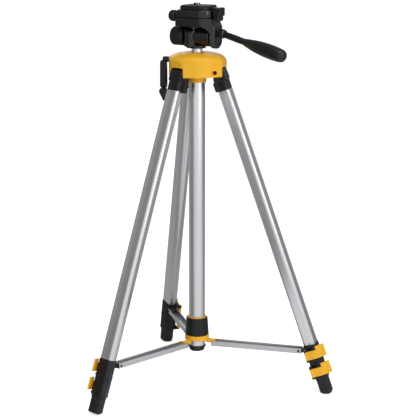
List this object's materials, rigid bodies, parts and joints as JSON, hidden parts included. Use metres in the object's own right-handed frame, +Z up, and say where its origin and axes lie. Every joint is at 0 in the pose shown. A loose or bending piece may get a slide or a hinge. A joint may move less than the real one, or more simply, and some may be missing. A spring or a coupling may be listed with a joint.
{
  "type": "laser level tripod",
  "caption": "Compact tripod for a laser level: pan and tilt head, cranked column, yellow crown, spreader and telescoping legs with clamp levers.",
  "frame": {"origin": "on the ground, at the middle of the tripod's bounding box", "axes": "+Z up, +X to the right and -Y to the front as the tripod is pictured"},
  "size_m": [0.3599, 0.358, 0.572],
  "materials": {
    "yellow_plastic": "moulded, semi-gloss",
    "black_plastic": "moulded, satin",
    "black_rubber": "soft moulded",
    "anodised_aluminium": "satin anodised",
    "brace_aluminium": "mill finish",
    "bright_steel": "bright plated"
  },
  "bodies": {
    "crown": {"crown_body": "yellow_plastic", "crown_lower_ring": "yellow_plastic", "outer_tube": "anodised_aluminium", "tube_end_plug": "black_plastic", "stop_ring": "black_plastic", "column_bushing": "black_plastic", "leg_1_hinge_pin": "bright_steel", "leg_2_hinge_pin": "bright_steel", "leg_3_hinge_pin": "bright_steel"},
    "column": {"centre_column": "anodised_aluminium"},
    "crank": {"crank_boss": "black_plastic", "crank_arm": "black_plastic"},
    "crank_grip": {"crank_grip": "black_plastic"},
    "pan": {"pan_base": "black_plastic", "pan_lock_screw": "bright_steel"},
    "tilt": {"tilt_body": "black_plastic", "handle_ferrule": "black_plastic"},
    "tilt_knob": {"tilt_lock_knob": "black_plastic"},
    "handle": {"handle_rod": "black_plastic", "handle_grip": "black_rubber"},
    "platform": {"head_platform": "black_plastic", "quick_release_plate": "black_plastic", "plate_pad": "black_rubber"},
    "platform_knob": {"platform_lock_knob": "black_plastic"},
    "release_lever": {"quick_release_lever": "black_plastic"},
    "screw": {"camera_screw": "bright_steel"},
    "stud": {"antitwist_pin": "bright_steel"},
    "hub": {"hub": "yellow_plastic"},
    "sleeve": {"hub_sleeve": "black_plastic"},
    "leg_1": {"leg_1_bracket": "black_plastic", "leg_1_upper_tube": "anodised_aluminium", "leg_1_upper_collar": "black_plastic"},
    "upper_lever_1": {"leg_1_upper_lever": "yellow_plastic"},
    "middle_1": {"leg_1_middle_tube": "anodised_aluminium", "leg_1_lower_collar": "black_plastic"},
    "lower_lever_1": {"leg_1_lower_lever": "yellow_plastic"},
    "lower_1": {"leg_1_lower_tube": "anodised_aluminium", "leg_1_foot": "black_rubber"},
    "brace_1": {"brace_1": "brace_aluminium"},
    "leg_2": {"leg_2_bracket": "black_plastic", "leg_2_upper_tube": "anodised_aluminium", "leg_2_upper_collar": "black_plastic"},
    "upper_lever_2": {"leg_2_upper_lever": "yellow_plastic"},
    "middle_2": {"leg_2_middle_tube": "anodised_aluminium", "leg_2_lower_collar": "black_plastic"},
    "lower_lever_2": {"leg_2_lower_lever": "yellow_plastic"},
    "lower_2": {"leg_2_lower_tube": "anodised_aluminium", "leg_2_foot": "black_rubber"},
    "brace_2": {"brace_2": "brace_aluminium"},
    "leg_3": {"leg_3_bracket": "black_plastic", "leg_3_upper_tube": "anodised_aluminium", "leg_3_upper_collar": "black_plastic"},
    "upper_lever_3": {"leg_3_upper_lever": "yellow_plastic"},
    "middle_3": {"leg_3_middle_tube": "anodised_aluminium", "leg_3_lower_collar": "black_plastic"},
    "lower_lever_3": {"leg_3_lower_lever": "yellow_plastic"},
    "lower_3": {"leg_3_lower_tube": "anodised_aluminium", "leg_3_foot": "black_rubber"},
    "brace_3": {"brace_3": "brace_aluminium"}
  },
  "joints": [
    {"name": "column_slide", "type": "slide", "parent": "crown", "child": "column", "axis": [0, 0, 1], "range_m": [0, 0.28]},
    {"name": "crank_turn", "type": "hinge", "parent": "crown", "child": "crank", "pos_m": [-0.02339, -0.02695, 0.489], "axis": [-0.9621, 0.2728, 0], "range_deg": [0, 2673.8]},
    {"name": "crank_grip_fold", "type": "hinge", "parent": "crank", "child": "crank_grip", "pos_m": [-0.07284, -0.01293, 0.442], "axis": [0.2728, 0.9621, 0], "range_deg": [0, 100]},
    {"name": "pan_turn", "type": "hinge", "parent": "column", "child": "pan", "pos_m": [-0.02339, -0.02695, 0], "axis": [0, 0, 1], "continuous": true},
    {"name": "tilt", "type": "hinge", "parent": "pan", "child": "tilt", "pos_m": [-0.02339, -0.02695, 0.523], "axis": [0.8829, -0.4695, 0], "range_deg": [-30, 80]},
    {"name": "tilt_lock_turn", "type": "hinge", "parent": "tilt", "child": "tilt_knob", "pos_m": [-0.02339, -0.02695, 0.523], "axis": [0.8829, -0.4695, 0], "range_deg": [0, 270]},
    {"name": "handle_twist", "type": "hinge", "parent": "tilt", "child": "handle", "pos_m": [0.00871, -0.04155, 0.5304], "axis": [0.7464, -0.6263, -0.225], "range_deg": [0, 120]},
    {"name": "platform_flip", "type": "hinge", "parent": "tilt", "child": "platform", "pos_m": [-0.01564, -0.01238, 0.5534], "axis": [-0.8829, 0.4695, 0], "range_deg": [0, 90]},
    {"name": "platform_lock_turn", "type": "hinge", "parent": "platform", "child": "platform_knob", "pos_m": [-0.02621, -0.03225, 0.5524], "axis": [0.8829, -0.4695, 0], "range_deg": [0, 270]},
    {"name": "release_lever_swing", "type": "hinge", "parent": "platform", "child": "release_lever", "pos_m": [0.00924, -0.03694, 0], "axis": [0, 0, 1], "range_deg": [0, 50]},
    {"name": "camera_screw_turn", "type": "hinge", "parent": "platform", "child": "screw", "pos_m": [-0.02165, -0.02901, 0], "axis": [0, 0, 1], "continuous": true},
    {"name": "antitwist_press", "type": "slide", "parent": "platform", "child": "stud", "axis": [0, 0, -1], "range_m": [0, 0.003], "stiffness_N_per_m": 300},
    {"name": "hub_slide", "type": "slide", "parent": "crown", "child": "hub", "axis": [0, 0, 1], "range_m": [0, 0.06213]},
    {"name": "sleeve_turn", "type": "hinge", "parent": "hub", "child": "sleeve", "pos_m": [-0.02339, -0.02695, 0], "axis": [0, 0, 1], "range_deg": [0, 90]},
    {"name": "leg_1_fold", "type": "hinge", "parent": "crown", "child": "leg_1", "pos_m": [-0.04656, -0.04946, 0.474], "axis": [0.6968, -0.7173, 0], "range_deg": [0, 2.5]},
    {"name": "brace_1_swing", "type": "hinge", "parent": "leg_1", "child": "brace_1", "pos_m": [-0.13679, -0.13711, 0.0625], "axis": [0.6968, -0.7173, 0], "range_deg": [0, 27.59]},
    {"name": "leg_1_upper_lever_open", "type": "hinge", "parent": "leg_1", "child": "upper_lever_1", "pos_m": [-0.1723, -0.15126, -0.00108], "axis": [-0.2404, -0.2335, -0.9422], "range_deg": [0, 90]},
    {"name": "leg_1_middle_slide", "type": "slide", "parent": "leg_1", "child": "middle_1", "axis": [-0.2404, -0.2335, -0.9422], "range_m": [0, 0.33]},
    {"name": "leg_1_lower_lever_open", "type": "hinge", "parent": "middle_1", "child": "lower_lever_1", "pos_m": [-0.1723, -0.15126, -0.00108], "axis": [-0.2404, -0.2335, -0.9422], "range_deg": [0, 90]},
    {"name": "leg_1_lower_slide", "type": "slide", "parent": "middle_1", "child": "lower_1", "axis": [-0.2404, -0.2335, -0.9422], "range_m": [0, 0.32]},
    {"name": "leg_2_fold", "type": "hinge", "parent": "crown", "child": "leg_2", "pos_m": [0.00768, -0.03576, 0.474], "axis": [0.2728, 0.9621, 0], "range_deg": [0, 2.5]},
    {"name": "brace_2_swing", "type": "hinge", "parent": "leg_2", "child": "brace_2", "pos_m": [0.12871, -0.07008, 0.0625], "axis": [0.2728, 0.9621, 0], "range_deg": [0, 27.59]},
    {"name": "leg_2_upper_lever_open", "type": "hinge", "parent": "leg_2", "child": "upper_lever_2", "pos_m": [0.15872, -0.09376, -0.00108], "axis": [0.3224, -0.0914, -0.9422], "range_deg": [0, 90]},
    {"name": "leg_2_middle_slide", "type": "slide", "parent": "leg_2", "child": "middle_2", "axis": [0.3224, -0.0914, -0.9422], "range_m": [0, 0.33]},
    {"name": "leg_2_lower_lever_open", "type": "hinge", "parent": "middle_2", "child": "lower_lever_2", "pos_m": [0.15872, -0.09376, -0.00108], "axis": [0.3224, -0.0914, -0.9422], "range_deg": [0, 90]},
    {"name": "leg_2_lower_slide", "type": "slide", "parent": "middle_2", "child": "lower_2", "axis": [0.3224, -0.0914, -0.9422], "range_m": [0, 0.32]},
    {"name": "leg_3_fold", "type": "hinge", "parent": "crown", "child": "leg_3", "pos_m": [-0.0313, 0.00437, 0.474], "axis": [-0.9696, -0.2448, 0], "range_deg": [0, 2.5]},
    {"name": "brace_3_swing", "type": "hinge", "parent": "leg_3", "child": "brace_3", "pos_m": [-0.06209, 0.12634, 0.0625], "axis": [-0.9696, -0.2448, 0], "range_deg": [0, 27.59]},
    {"name": "leg_3_upper_lever_open", "type": "hinge", "parent": "leg_3", "child": "upper_lever_3", "pos_m": [-0.05659, 0.16416, -0.00108], "axis": [-0.082, 0.3249, -0.9422], "range_deg": [0, 90]},
    {"name": "leg_3_middle_slide", "type": "slide", "parent": "leg_3", "child": "middle_3", "axis": [-0.082, 0.3249, -0.9422], "range_m": [0, 0.33]},
    {"name": "leg_3_lower_lever_open", "type": "hinge", "parent": "middle_3", "child": "lower_lever_3", "pos_m": [-0.05659, 0.16416, -0.00108], "axis": [-0.082, 0.3249, -0.9422], "range_deg": [0, 90]},
    {"name": "leg_3_lower_slide", "type": "slide", "parent": "middle_3", "child": "lower_3", "axis": [-0.082, 0.3249, -0.9422], "range_m": [0, 0.32]}
  ],
  "couplings": [
    {"joint": "crank_turn", "follows": "column_slide", "rad_per_m": 166.67},
    {"joint": "brace_1_swing", "follows": "leg_1_fold", "ratio": 11.035},
    {"joint": "leg_2_fold", "follows": "leg_1_fold", "ratio": 1},
    {"joint": "brace_2_swing", "follows": "leg_1_fold", "ratio": 11.035},
    {"joint": "leg_3_fold", "follows": "leg_1_fold", "ratio": 1},
    {"joint": "brace_3_swing", "follows": "leg_1_fold", "ratio": 11.035},
    {"joint": "hub_slide", "follows": "leg_1_fold", "m_per_rad": 1.424}
  ]
}
